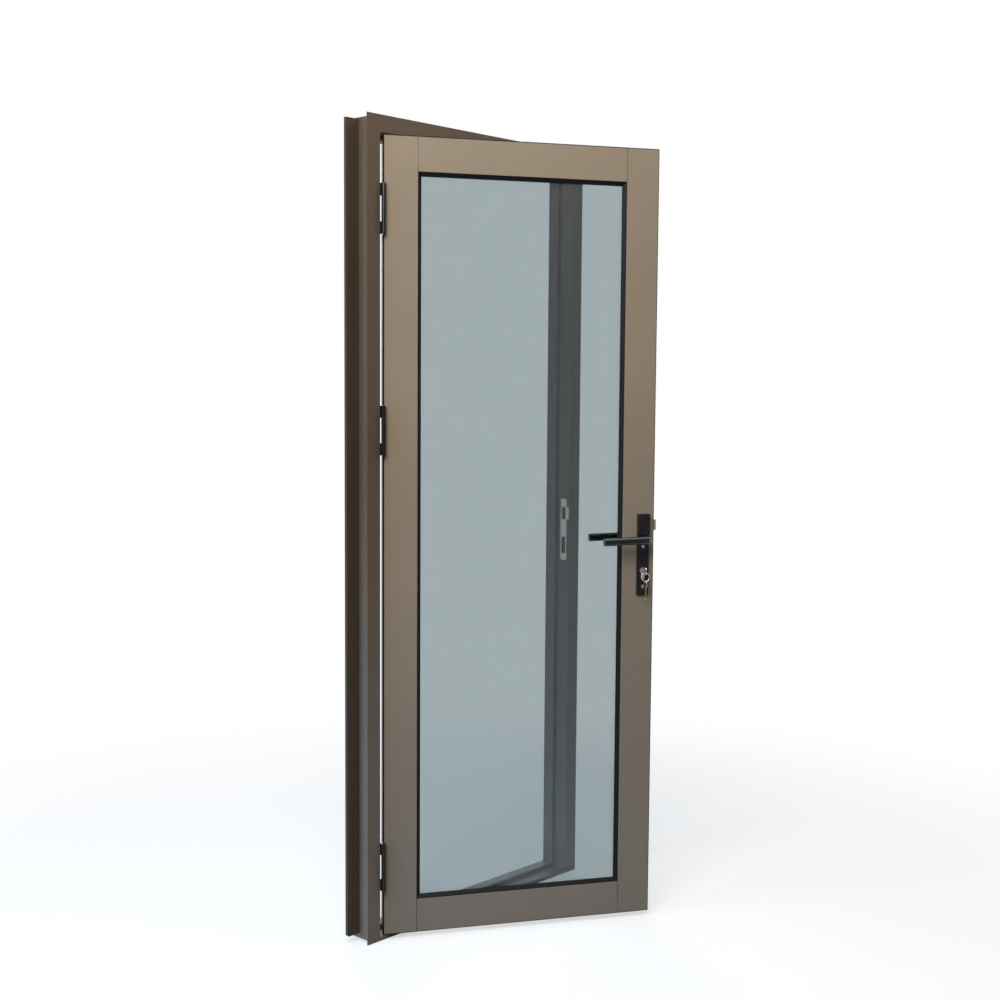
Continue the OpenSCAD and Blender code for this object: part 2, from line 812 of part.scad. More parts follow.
module glass_spacer() {
  color(raw_alu) on_face() translate([glass_x0, glass_back + pane_t, glass_z0]) difference() {
    cube([glass_w, cavity, glass_h]);
    translate([spacer_w, -over, spacer_w])
      cube([glass_w - 2 * spacer_w, cavity + 2 * over, glass_h - 2 * spacer_w]);
  }
}

// Section of the outer gasket: across from the glass edge, and back from the leaf's face
module outer_gasket_section() {
  leg = leg_w - glass_clear;
  reach = leg + gasket_w;
  polygon([[2, glass_back], [2, leg_d], [leg, leg_d], [leg, leg_d / 2], [leg + 2, leg_d / 2],
    [reach - 1, glass_back - 2], [reach, glass_back - 1], [reach, glass_back]]);
}
module outer_gasket() {
  color(rubber) on_face() translate([glass_x0, 0, glass_z0])
    mitred_ring(glass_w, glass_h, leg_w + gasket_w, glass_back) outer_gasket_section();
}

// Section of the gasket between the inner pane and the beads
module inner_gasket_section() {
  translate([2, glass_back + unit_t]) square([leg_w - glass_clear, rear_gasket_t]);
}
module inner_gasket() {
  color(rubber) on_face() translate([glass_x0, 0, glass_z0])
    mitred_ring(glass_w, glass_h, leg_w, leaf_t) inner_gasket_section();
}

// Section of a clip-in bead: a channel open to the glass pocket
module bead_section() {
  translate([0, bead_y]) difference() {
    square([leg_w, leaf_t - bead_y]);
    translate([wall, -over]) square([leg_w - 2 * wall, leaf_t - bead_y - wall + over]);
  }
}
bead_frame_w = leaf_w - 2 * tube_w;
bead_frame_h = leaf_h - 2 * rail_tube_h;
module on_beads() {
  color(bronze) on_face() translate([tube_w, 0, rail_tube_h]) children();
}
module hinge_side_bead() {
  on_beads() ring_left(bead_frame_h, leg_w, leaf_t) bead_section();
}
module lock_side_bead() {
  on_beads() ring_right(bead_frame_w, bead_frame_h, leg_w, leaf_t) bead_section();
}
module bottom_bead() {
  on_beads() ring_bottom(bead_frame_w, leg_w, leaf_t) bead_section();
}
module top_bead() {
  on_beads() ring_top(bead_frame_w, bead_frame_h, leg_w, leaf_t) bead_section();
}

// Blocks under the glass edge at its quarter points
module setting_blocks() {
  color(black) on_face() for (x = [0.25, 0.75])
    translate([glass_x0 + x * glass_w - block_l / 2, glass_back, rail_tube_h])
      cube([block_l, unit_t, glass_clear]);
}

// Lock

// Outline of the profile cylinder about its barrel's centre, grown by g
module cylinder_outline(g = 0) {
  circle(d = barrel_lock_d + 2 * g);
  translate([-tail_w / 2 - g, -tail_h + tail_w / 2]) square([tail_w + 2 * g, tail_h - tail_w / 2]);
  translate([0, -tail_h + tail_w / 2]) circle(d = tail_w + 2 * g);
}

module lock_case() {
  inner_t = case_t - 2 * case_wall;
  color(steel) on_lock() difference() {
    translate([case_x, lock_y - case_t / 2, case_z0]) cube([case_w, case_t, case_z1 - case_z0]);
    translate([case_x + case_wall, lock_y - inner_t / 2, case_z0 + case_wall])
      cube([case_w - 2 * case_wall, inner_t, case_z1 - case_z0 - 2 * case_wall]);
    translate([-backset, 0, spindle_z]) rod_y(journal_d / 2 + run_fit, leaf_t);
    translate([-backset, 0, cyl_z]) slab(0, leaf_t) cylinder_outline(slide_fit);
    plate_screw_places() rod_y(plate_bolt_d / 2 + slide_fit, leaf_t);
    lock_mouths(case_wall + 2 * over);
    cylinder_screw_place() rod_x(cyl_screw_d / 2 + slide_fit, cyl_screw_l + over);
  }
}

// Openings for the latch and the deadbolt, cut inwards over a length l
module lock_mouths(l) {
  translate([-faceplate_t - l + over, lock_y - latch_t / 2 - slide_fit, latch_z - latch_h / 2 - slide_fit])
    cube([l + faceplate_t, latch_t + 2 * slide_fit, latch_h + 2 * slide_fit]);
  translate([-faceplate_t - l + over, lock_y - bolt_t / 2 - slide_fit, bolt_z - slide_fit])
    cube([l + faceplate_t, bolt_t + 2 * slide_fit, bolt_h + 2 * slide_fit]);
}

faceplate_screw_d = 4;
faceplate_screw_l = 14;
module faceplate_screw_places() {
  for (end = [-1, 1]) translate([0, lock_y, face_mid_z + end * (faceplate_h / 2 - faceplate_screw_in)])
    mirror([1, 0, 0]) children();
}

module lock_faceplate() {
  color(steel) on_lock() difference() {
    translate([-faceplate_t, lock_y - faceplate_w / 2, face_mid_z - faceplate_h / 2])
      cube([faceplate_t, faceplate_w, faceplate_h]);
    lock_mouths(2 * over);
    faceplate_screw_places() flat_screw_x(faceplate_screw_d, faceplate_screw_l, run_fit);
    cylinder_screw_place() flat_screw_x(cyl_screw_d, cyl_screw_l, run_fit);
  }
}

module faceplate_screws() {
  color(steel) on_lock() faceplate_screw_places() flat_screw_x(faceplate_screw_d, faceplate_screw_l);
}

// Latch: bevelled head, side plate and the lug that the follower's arm draws back
module latch_bolt() {
  lug_x = -backset + lug_low * tan(arm_angle) - arm_w / 2 / cos(arm_angle) - 2 * slide_fit;
  head_x = -faceplate_t - 8;
  side_y = lock_y + arm_t / 2 + 2 * slide_fit;
  side_t = case_t / 2 - case_wall - arm_t / 2 - 4 * slide_fit;
  plate_z = spindle_z + lug_low;
  color(steel) on_lock() {
    difference() {
      translate([head_x, lock_y - latch_t / 2, latch_z - latch_h / 2])
        cube([latch_throw - head_x, latch_t, latch_h]);
      translate([0, 0, latch_z - latch_h]) linear_extrude(2 * latch_h)
        polygon([[0, lock_y + latch_t / 2], [latch_throw, lock_y - latch_t / 6],
          [latch_throw + over, lock_y - latch_t / 6], [latch_throw + over, lock_y + latch_t]]);
    }
    translate([lug_x - lug_w, side_y, plate_z]) cube([head_x - lug_x + lug_w + over, side_t, latch_h]);
    translate([lug_x - lug_w, lock_y - arm_t / 2, plate_z])
      cube([lug_w, arm_t / 2 + side_y - lock_y + side_t, lug_h]);
  }
}

module deadbolt() {
  color(steel) on_lock() translate([-bolt_l, lock_y - bolt_t / 2, bolt_z]) cube([bolt_l, bolt_t, bolt_h]);
}

// Follower: journals in the case, a square hole and the arm that draws the latch
module lock_follower() {
  inner_t = case_t - 2 * case_wall - 2 * slide_fit;
  color(steel) on_lock() translate([-backset, lock_y, spindle_z]) difference() {
    union() {
      translate([0, -case_t / 2, 0]) rod_y(journal_d / 2, case_t);
      translate([0, -inner_t / 2, 0]) rod_y(follower_d / 2, inner_t);
      rotate([0, arm_angle, 0]) translate([-arm_w / 2, -arm_t / 2, 0]) cube([arm_w, arm_t, arm_r]);
    }
    cube([spindle_w + 2 * run_fit, 2 * case_t, spindle_w + 2 * run_fit], center = true);
  }
}

// Profile cylinder with its cam gap, plugs, key and screw
cyl_screw_d = 5;
cyl_screw_l = backset + 4;
cyl_screw_z = cyl_z - tail_h + tail_w / 2;
module cylinder_screw_place() {
  translate([0, lock_y, cyl_screw_z]) mirror([1, 0, 0]) children();
}

module lock_cylinder() {
  color(steel) on_lock() difference() {
    translate([-backset, 0, cyl_z]) slab(-cyl_out, leaf_t + 2 * cyl_out) cylinder_outline();
    translate([-backset, -cyl_out - over, cyl_z]) rod_y(plug_fit_r, leaf_t + 2 * cyl_out + 2 * over);
    translate([-backset, lock_y - cam_t / 2, cyl_z]) rod_y(cam_r + slide_fit, cam_t);
    cylinder_screw_place() rod_x(cyl_screw_d / 2 + run_fit, cyl_screw_l + over);
  }
}

// Slot for the key's blade from the cylinder's outer end
module keyway() {
  translate([-key_t / 2 - slide_fit / 2, -over, -blade_h / 2 - slide_fit / 2])
    cube([key_t + slide_fit, blade_l + over, blade_h + slide_fit]);
}

// Plug with its keyway, from the cylinder's end to the cam and a reach past its gap's wall
module plain_plug(reach) {
  difference() {
    rod_y(plug_d / 2, cyl_out + lock_y - cam_t / 2 + reach);
    keyway();
  }
}
module cylinder_plug() {
  color(brass) on_lock() translate([-backset, -cyl_out, cyl_z]) plain_plug(slide_fit);
}
module inner_plug() {
  color(brass) on_lock() translate([-backset, leaf_t + cyl_out, cyl_z]) mirror([0, 1, 0]) plain_plug(0);
}

// Cam that the outer plug turns, with the end of the keyway in it
module cylinder_cam() {
  t = cam_t - 2 * slide_fit;
  nose = 7;
  color(steel) on_lock() translate([-backset, 0, cyl_z]) difference() {
    translate([0, lock_y - t / 2, 0]) {
      rod_y(plug_d / 2 + 1.5, t);
      translate([-nose / 2, 0, -cam_r + 1]) cube([nose, t, cam_r - 1]);
    }
    translate([0, -cyl_out, 0]) keyway();
  }
}

module cylinder_screw() {
  color(steel) on_lock() cylinder_screw_place() flat_screw_x(cyl_screw_d, cyl_screw_l);
}

// Flat key in YZ with its bow's centre at the origin, its toothed blade along +Y and one hole
module flat_key(hole_d, hole_y, hole_z) {
  tip = blade_h / 2;
  root = bow_d / 2 - 2;
  end = bow_d / 2 + key_neck + blade_l - 2;
  teeth = 5;
  tooth_step = (end - tip - root - key_neck) / (teeth + 0.5);
  translate([-key_t / 2, 0, 0]) rotate([90, 0, 90]) linear_extrude(key_t) difference() {
    union() {
      circle(d = bow_d);
      polygon([[root, -tip], [end - tip, -tip], [end, 0], [end - tip, tip], [root, tip]]);
    }
    translate([hole_y, hole_z]) circle(d = hole_d);
    for (i = [1:teeth]) translate([end - tip - (i - 0.5) * tooth_step, tip]) {
      depth = blade_h * (i % 2 == 0 ? 0.2 : 0.3);
      polygon([[-tooth_step / 2, over], [-tooth_step / 2, 0], [0, -depth], [tooth_step / 2, 0],
        [tooth_step / 2, over]]);
    }
  }
}

module key() {
  color(steel) on_lock() translate([-backset, bow_y, cyl_z])
    flat_key(ring_hole_d, ring_hole_y - bow_y, ring_hole_z - cyl_z);
}

module key_ring() {
  color(steel) on_lock() translate([-backset, ring_hole_y, ring_z]) rotate([90, 0, 0])
    rotate_extrude() translate([ring_r, 0]) circle(d = wire_d);
}

module spare_key() {
  color(brass) on_lock() translate([-backset, ring_hole_y, spare_bow_z]) rotate([-90, 0, 0])
    flat_key(spare_hole_d, spare_bow_z - spare_hole_z, 0);
}

// Handle

spindle_in = 30;
plate_bolt_d = 5;
plate_head_t = 2.5;

// Axes of the plate screws on the leaf's front face
module plate_screw_places() {
  for (drop = [plate_screw_up, plate_screw_low]) translate([-backset, 0, spindle_z - drop]) children();
}

// Backplate that stands on the front face, with a sink of diameter sink_d for the screws' heads
module plain_plate(sink_d) {
  x0 = -backset - plate_w / 2;
  difference() {
    union() {
      translate([x0, 0, plate_z0]) slab(-plate_t, plate_t) rounded(plate_w, plate_h, plate_r);
      translate([x0, 0, plate_z1 - plate_block_h])
        slab(-plate_t - plate_block_t, plate_block_t + over) rounded(plate_w, plate_block_h, plate_r);
    }
    translate([-backset, -plate_t - plate_block_t - over, spindle_z])
      rod_y(neck_d / 2 + run_fit, plate_t + plate_block_t + 2 * over);
    translate([-backset, 0, cyl_z]) slab(-plate_t - over, plate_t + 2 * over) cylinder_outline(slide_fit);
    plate_screw_places() {
      translate([0, -plate_t - over, 0]) {
        rod_y(plate_bolt_d / 2 + run_fit, plate_t + 2 * over);
        rod_y(sink_d / 2, plate_head_t / 2 + over);
      }
    }
  }
}

module outer_plate() {
  color(black) on_lock() plain_plate(plate_screw_d + 2 * slide_fit);
}
module inner_plate() {
  color(black) on_lock() translate([0, leaf_t, 0]) mirror([0, 1, 0]) plain_plate(plate_bolt_d);
}

module plate_screws() {
  socket = 3;
  color(steel) on_lock() plate_screw_places() difference() {
    union() {
      translate([0, -plate_t, 0]) rod_y(plate_bolt_d / 2, leaf_t + 2 * plate_t - plate_head_t / 2);
      translate([0, -plate_t - plate_head_t / 2, 0]) rod_y(plate_screw_d / 2, plate_head_t);
    }
    translate([0, -plate_t - plate_head_t, 0]) rotate([-90, 0, 0])
      cylinder(d = socket, h = plate_head_t, $fn = 6);
  }
}

// Grip along -X from its neck's axis, with a bevelled tip and a corner cut at the neck
module grip() {
  end_x = neck_d / 2;
  corner = end_x + 0.5;
  difference() {
    translate([-lever_l, 0, 0]) {
      rotate([0, 90, 0]) cylinder(r1 = grip_d / 2 - grip_bevel, r2 = grip_d / 2, h = grip_bevel);
      translate([grip_bevel, 0, 0]) rod_x(grip_d / 2, lever_l + end_x - grip_bevel);
    }
    translate([0, 0, -grip_d]) linear_extrude(2 * grip_d)
      polygon([[corner - grip_d, -grip_d], [corner + grip_d, grip_d], [corner + 2 * grip_d, -grip_d]]);
  }
}

// Lever about its spindle: a neck out to the drooping grip
module plain_lever() {
  difference() {
    rotate([0, -lever_droop, 0]) translate([0, -lever_out, 0]) {
      rod_y(neck_d / 2, lever_out - 1);
      grip();
    }
    cube([spindle_w + 2 * run_fit, 2 * spindle_in, spindle_w + 2 * run_fit], center = true);
  }
}
module outer_lever() {
  color(black) on_lock() translate([-backset, 0, spindle_z]) plain_lever();
}
module inner_lever() {
  color(black) on_lock() translate([-backset, leaf_t, spindle_z]) mirror([0, 1, 0]) plain_lever();
}

module spindle() {
  color(steel) on_lock() translate([-backset, lock_y, spindle_z])
    cube([spindle_w, leaf_t + 2 * spindle_in - 2, spindle_w], center = true);
}

hinge_jamb();
strike_jamb();
head();
sill();
corner_cleats();
hinge_trim();
strike_trim();
trim_screws();
weather_seals();
strike_plate();
strike_screws();
hinge_frame_leaf(hinge_z[0]);  // top_hinge_frame_leaf
hinge_frame_leaf(hinge_z[1]);  // middle_hinge_frame_leaf
hinge_frame_leaf(hinge_z[2]);  // bottom_hinge_frame_leaf
hinge_pin(hinge_z[0]);  // top_hinge_pin
hinge_pin(hinge_z[1]);  // middle_hinge_pin
hinge_pin(hinge_z[2]);  // bottom_hinge_pin
hinge_frame_screws();
hinge_stile();
lock_stile();
top_rail();
bottom_rail();
rail_cleats();
stile_caps();
outer_pane();
inner_pane();
glass_spacer();
outer_gasket();
inner_gasket();
setting_blocks();
leaf_seal();
top_bead();
bottom_bead();
hinge_side_bead();
lock_side_bead();
hinge_door_leaf(hinge_z[0]);  // top_hinge_door_leaf
hinge_door_leaf(hinge_z[1]);  // middle_hinge_door_leaf
hinge_door_leaf(hinge_z[2]);  // bottom_hinge_door_leaf
hinge_door_screws();
lock_case();
lock_faceplate();
faceplate_screws();
outer_plate();
inner_plate();
plate_screws();
lock_cylinder();
inner_plug();
cylinder_screw();
outer_lever();
inner_lever();
spindle();
lock_follower();
latch_bolt();
deadbolt();
cylinder_plug();
cylinder_cam();
key();
key_ring();
spare_key();
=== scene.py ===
"""Looks for a glazed aluminium door hung open in its own frame."""

import json
import math

import bpy
from mathutils import Matrix, Vector

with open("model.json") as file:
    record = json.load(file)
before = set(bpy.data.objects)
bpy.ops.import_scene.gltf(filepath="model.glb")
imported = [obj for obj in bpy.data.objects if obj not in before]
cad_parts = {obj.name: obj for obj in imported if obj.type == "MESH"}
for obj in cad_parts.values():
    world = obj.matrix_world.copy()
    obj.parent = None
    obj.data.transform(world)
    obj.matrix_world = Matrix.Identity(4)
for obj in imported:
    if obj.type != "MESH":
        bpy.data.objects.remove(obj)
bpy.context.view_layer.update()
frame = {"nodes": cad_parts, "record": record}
nodes = frame["nodes"]
scene = bpy.context.scene
scene.view_settings.view_transform = "Standard"

# Camera of the photograph, in pixels of its 1000 by 1000 frame and metres
FOCAL_PX = 1449.495
CENTRE_PX = (529.393, 509.908)
FRAME_PX = 1000.0
SENSOR_MM = 36.0
CAMERA_AT = (-2.829495, -2.754386, 1.428727)
CAMERA_REACH = 200
YAW, PITCH, ROLL = (math.radians(a) for a in (-48.091, -4.792, 0.492))


def add_camera():
    """The photograph's camera, from its fitted place, turn and off-centre lens."""
    forward = Vector((-math.sin(YAW) * math.cos(PITCH), math.cos(YAW) * math.cos(PITCH), math.sin(PITCH)))
    right = Vector((math.cos(YAW), math.sin(YAW), 0))
    up = right.cross(forward)
    c, s = math.cos(ROLL), math.sin(ROLL)
    x_axis = right * c + up * s
    y_axis = up * c - right * s
    data = bpy.data.cameras.new("photo_camera")
    data.sensor_fit = "HORIZONTAL"
    data.sensor_width = SENSOR_MM
    data.lens = SENSOR_MM * FOCAL_PX / FRAME_PX
    data.shift_x = (FRAME_PX / 2 - CENTRE_PX[0]) / FRAME_PX
    data.shift_y = (CENTRE_PX[1] - FRAME_PX / 2) / FRAME_PX
    data.clip_end = CAMERA_REACH
    cam = bpy.data.objects.new("photo_camera", data)
    turn = Matrix((x_axis, y_axis, -forward)).transposed().to_4x4()
    cam.matrix_world = Matrix.Translation(CAMERA_AT) @ turn
    scene.collection.objects.link(cam)
    scene.camera = cam


# What metal reflects: a white backdrop in the level direction in which the photograph looks, and a dimmer
# room on the other side. One turns into the other between the two cosines of ROOM_FADE
BACKDROP = (1.0, 1.0, 1.0)
BACKDROP_WAY = (0.744, 0.668, 0.0)
ROOM_STRENGTH = 0.22
ROOM_FADE = (-0.6, 0.3)

# Sockets of a mix node that serve colours, among its others for floats and vectors
MIX_FACTOR, MIX_A, MIX_B, MIX_RESULT = 0, 6, 7, 2


class Tree:
    """Short calls for building the nodes of a material or a world."""

    def __init__(self, owner):
        owner.use_nodes = True
        self.tree = owner.node_tree

    def add(self, kind, **props):
        node = self.tree.nodes.new(kind)
        for key, value in props.items():
            setattr(node, key, value)
        return node

    def link(self, a, b):
        self.tree.links.new(a, b)

    def place(self, kind):
        """Texture coordinates: Object in metres of the rest pose, or Generated for a world's directions."""
        return self.add("ShaderNodeTexCoord").outputs[kind]

    def coords(self, scale=(1, 1, 1)):
        """Object coordinates times a scale for each axis."""
        mapping = self.add("ShaderNodeMapping")
        mapping.inputs["Scale"].default_value = scale
        self.link(self.place("Object"), mapping.inputs["Vector"])
        return mapping.outputs["Vector"]

    def height(self):
        """Height over the floor in metres, in the rest pose."""
        split = self.add("ShaderNodeSeparateXYZ")
        self.link(self.place("Object"), split.inputs[0])
        return split.outputs["Z"]

    def noise(self, vector, scale, detail, rough=0.5):
        node = self.add("ShaderNodeTexNoise")
        node.inputs["Scale"].default_value = scale
        node.inputs["Detail"].default_value = detail
        node.inputs["Roughness"].default_value = rough
        self.link(vector, node.inputs["Vector"])
        return node.outputs["Fac"]

    def ramp(self, value, stops):
        """A colour between two stops, each a position and its colour."""
        node = self.add("ShaderNodeValToRGB")
        for element, (position, colour) in zip(node.color_ramp.elements, stops):
            element.position = position
            element.color = (*colour, 1)
        self.link(value, node.inputs["Fac"])
        return node.outputs["Color"]

    def mix(self, fac, a, b):
        """Colour a where fac is 0 and b where it is 1."""
        node = self.add("ShaderNodeMix", data_type="RGBA")
        self.link(fac, node.inputs[MIX_FACTOR])
        for socket, value in ((node.inputs[MIX_A], a), (node.inputs[MIX_B], b)):
            if isinstance(value, bpy.types.NodeSocket):
                self.link(value, socket)
            else:
                socket.default_value = (*value, 1)
        return node.outputs[MIX_RESULT]

    def combine(self, operation, a, b):
        """One number from two, by an operation of the math node."""
        node = self.add("ShaderNodeMath", operation=operation)
        self.link(a, node.inputs[0])
        self.link(b, node.inputs[1])
        return node.outputs[0]

    def remap(self, value, before, after=(0.0, 1.0), interpolation="LINEAR"):
        """A value held to one range and carried over to another."""
        node = self.add("ShaderNodeMapRange", interpolation_type=interpolation)
        node.inputs["From Min"].default_value, node.inputs["From Max"].default_value = before
        node.inputs["To Min"].default_value, node.inputs["To Max"].default_value = after
        self.link(value, node.inputs["Value"])
        return node.outputs["Result"]

    def span(self, value, low, high):
        """A value from 0 to 1 carried over to low to high."""
        return self.remap(value, (0.0, 1.0), (low, high))

    def seen_by(self, *kinds):
        """1 for rays of the given kinds, as the light path tells them."""
        path = self.add("ShaderNodeLightPath")
        seen = path.outputs[kinds[0]]
        for kind in kinds[1:]:
            seen = self.combine("MAXIMUM", seen, path.outputs[kind])
        return seen

    def room_fade(self, way):
        """1 towards the backdrop, ROOM_STRENGTH towards the rest of the room."""
        facing = self.add("ShaderNodeVectorMath", operation="DOT_PRODUCT")
        facing.inputs[1].default_value = BACKDROP_WAY
        self.link(way, facing.inputs[0])
        return self.remap(facing.outputs["Value"], ROOM_FADE, (ROOM_STRENGTH, 1.0), "SMOOTHSTEP")

    def mix_shaders(self, fac, a, b):
        mix = self.add("ShaderNodeMixShader")
        for socket, value in zip(mix.inputs, (fac, a, b)):
            self.link(value, socket)
        return mix.outputs[0]


class Material(Tree):
    """A new material, built round its principled shader."""

    def __init__(self, name):
        self.mat = bpy.data.materials.new(name)
        super().__init__(self.mat)
        self.bsdf = self.tree.nodes["Principled BSDF"]
        self.surface = self.tree.nodes["Material Output"].inputs["Surface"]

    def set(self, **values):
        """Set inputs of the principled shader, each named with _ for a space."""
        for key, value in values.items():
            self.bsdf.inputs[key.replace("_", " ")].default_value = value

    def wear(self, tone, rough):
        """Give the principled shader a colour and a roughness that vary over the piece."""
        self.link(tone, self.bsdf.inputs["Base Color"])
        self.link(rough, self.bsdf.inputs["Roughness"])

    def recess_shade(self, reach):
        """Mask of painted shade: 0 deep in a corner or recess, 1 on open faces, over a reach in metres."""
        node = self.add("ShaderNodeAmbientOcclusion", samples=8)
        node.inputs["Distance"].default_value = reach
        return self.remap(node.outputs["AO"], RECESS_SHADE_SHARES)

    def bump(self, height, strength, depth, edge):
        """Surface grain, with edges rounded to a radius in metres."""
        node = self.add("ShaderNodeBump")
        node.inputs["Strength"].default_value = strength
        node.inputs["Distance"].default_value = depth
        self.link(height, node.inputs["Height"])
        bevel = self.add("ShaderNodeBevel", samples=6)
        bevel.inputs["Radius"].default_value = edge
        self.link(bevel.outputs["Normal"], node.inputs["Normal"])
        self.link(node.outputs["Normal"], self.bsdf.inputs["Normal"])


def shade(colour, share):
    """A colour made darker by a share below 1, or lighter by one above it."""
    return tuple(c * share for c in colour)


# Greying of the coats towards the floor: the height in metres where it ends, and its share at the floor
GREYING_TOP = 1.35
GREYING_MOST = 0.75
# Height where the spare key's blade meets its bow, and half the blur between their colours, in metres
KEY_BOW_LOW = 0.901
KEY_BOW_SOFT = 0.001
# Painted shade in the recesses of bare metal: its reach in metres, and the shares of openness from dark to
# unshaded
RECESS_SHADE_REACH = 0.0015
RECESS_SHADE_SHARES = (0.35, 0.85)
# Stretch of the coats' streaks and of the brushed lines, which run up and down
STREAKS = (60, 60, 1.2)
LONG_LINES = (1, 1, 0.02)
SHORT_LINES = (1, 1, 0.05)


def bronze_coat(name, light, dark, greying, sheen):
    """Powder coat: fine orange peel, broad cloudy tone, grey streaks, and greyer towards the floor."""
    t = Material(name)
    here = t.coords()
    broad = t.noise(here, scale=2.2, detail=3.0)
    fine = t.noise(here, scale=700.0, detail=2.0)
    cloud = t.noise(here, scale=14.0, detail=4.0, rough=0.6)
    streak = t.noise(t.coords(STREAKS), scale=1.0, detail=3.0, rough=0.55)
    tone = t.ramp(broad, [(0.3, dark), (0.7, light)])
    tone = t.mix(t.span(fine, low=0.0, high=0.08), tone, shade(dark, share=0.72))
    tone = t.mix(t.span(streak, low=-0.04, high=0.14), tone, greying)
    # The coat turns greyer towards the floor, in cloudy patches
    low_down = t.remap(t.height(), (GREYING_TOP, 0.0), (0.0, GREYING_MOST), "SMOOTHSTEP")
    greyed = t.combine("MULTIPLY", low_down, t.span(cloud, low=0.5, high=1.0))
    tone = t.mix(greyed, tone, greying)
    t.wear(tone, t.span(cloud, low=0.40, high=0.56))
    t.set(Specular_IOR_Level=sheen)
    t.bump(fine, strength=0.15, depth=0.00006, edge=0.0006)
    return t.mat


def satin_black(name, colour, rough):
    """Black paint with a fine grain and a slightly cloudy gloss."""
    t = Material(name)
    here = t.coords()
    fine = t.noise(here, scale=1800.0, detail=2.0)
    cloud = t.noise(here, scale=30.0, detail=3.0)
    tone = t.ramp(cloud, [(0.3, shade(colour, share=0.8)), (0.75, shade(colour, share=1.25))])
    t.wear(tone, t.span(cloud, low=rough - 0.05, high=rough + 0.07))
    t.set(Specular_IOR_Level=0.45)
    t.bump(fine, strength=0.2, depth=0.00005, edge=0.0005)
    return t.mat


def rubber(name, colour):
    """Dull black with paler worn patches."""
    t = Material(name)
    here = t.coords()
    fine = t.noise(here, scale=900.0, detail=3.0)
    cloud = t.noise(here, scale=25.0, detail=3.0)
    tone = t.ramp(cloud, [(0.35, colour), (0.8, shade(colour, share=1.7))])
    t.wear(tone, t.span(cloud, low=0.5, high=0.68))
    t.set(Specular_IOR_Level=0.2)
    t.bump(fine, strength=0.25, depth=0.0001, edge=0.0004)
    return t.mat


def brushed(name, colour, rough, along, bow_colour=None):
    """Bare metal with fine lines and painted shade in its recesses, and on the spare key a bow of its own
    colour.
    """
    t = Material(name)
    lines = t.noise(t.coords(along), scale=60.0, detail=4.0, rough=0.65)
    cloud = t.noise(t.coords(), scale=40.0, detail=3.0)
    plain = colour
    if bow_colour:
        bow = t.remap(t.height(), (KEY_BOW_LOW - KEY_BOW_SOFT, KEY_BOW_LOW + KEY_BOW_SOFT))
        plain = t.mix(bow, colour, bow_colour)
    tone = t.mix(t.span(lines, low=0.0, high=0.5), plain, shade(colour, share=0.7))
    # Painted shade: the colour turns much darker in corners and recesses
    tone = t.mix(t.recess_shade(RECESS_SHADE_REACH), shade(colour, share=0.12), tone)
    t.wear(tone, t.span(cloud, low=rough - 0.05, high=rough + 0.1))
    t.set(Metallic=1.0)
    t.bump(lines, strength=0.12, depth=0.00004, edge=0.0003)
    return t.mat


def pane_glass(name, colour):
    """Tinted clear glass with faint smears, which lets tinted light through to the floor."""
    t = Material(name)
    smear = t.noise(t.coords(), scale=5.0, detail=3.0)
    t.link(t.span(smear, low=0.0, high=0.012), t.bsdf.inputs["Roughness"])
    t.set(Base_Color=(*colour, 1), Transmission_Weight=1.0, IOR=1.5)
    shadow = t.add("ShaderNodeBsdfTransparent")
    shadow.inputs["Color"].default_value = (*colour, 1)
    t.link(t.mix_shaders(t.seen_by("Is Shadow Ray"), t.bsdf.outputs[0], shadow.outputs[0]), t.surface)
    return t.mat


# Colours of the coats, metals, rubbers and glass, in linear light
LEAF_LIGHT = (0.214, 0.167, 0.118)
LEAF_DARK = (0.184, 0.143, 0.100)
LEAF_GREYING = (0.136, 0.127, 0.118)
# The frame's and trims' colours are the leaf's bronze made darker, as painted shade
FRAME_SHADED_LIGHT = (0.080, 0.056, 0.036)
FRAME_SHADED_DARK = (0.069, 0.047, 0.030)
FRAME_GREYING = (0.168, 0.154, 0.142)
TRIM_SHADED_LIGHT = (0.050, 0.034, 0.023)
TRIM_SHADED_DARK = (0.043, 0.029, 0.019)
TRIM_GREYING = (0.060, 0.050, 0.043)
MILL_ALUMINIUM = (0.72, 0.73, 0.74)
HINGE_BLACK = (0.003, 0.003, 0.0034)
HANDLE_BLACK = (0.0065, 0.0067, 0.0075)
GASKET_BLACK = (0.0025, 0.0027, 0.0033)
CAP_BLACK = (0.02, 0.02, 0.02)
GLASS_TINT = (0.595, 0.648, 0.660)
STEEL = (0.80, 0.80, 0.79)
KEY_BRASS = (0.74, 0.60, 0.36)
KEY_SILVER = (0.68, 0.68, 0.66)

materials = {
    "bronze_aluminium": bronze_coat("bronze_coat", LEAF_LIGHT, LEAF_DARK, LEAF_GREYING, sheen=0.28),
    "bare_aluminium": brushed("mill_aluminium", MILL_ALUMINIUM, rough=0.4, along=LONG_LINES),
    "black_painted_steel": satin_black("hinge_black", HINGE_BLACK, rough=0.24),
    "black_aluminium": satin_black("handle_black", HANDLE_BLACK, rough=0.25),
    "black_rubber": rubber("gasket_rubber", GASKET_BLACK),
    "black_plastic": rubber("cap_plastic", CAP_BLACK),
    "clear_glass": pane_glass("pane_glass", GLASS_TINT),
    "bright_steel": brushed("bright_steel", STEEL, rough=0.20, along=SHORT_LINES),
    "brass": brushed("key_brass", KEY_BRASS, rough=0.28, along=SHORT_LINES, bow_colour=KEY_SILVER),
}

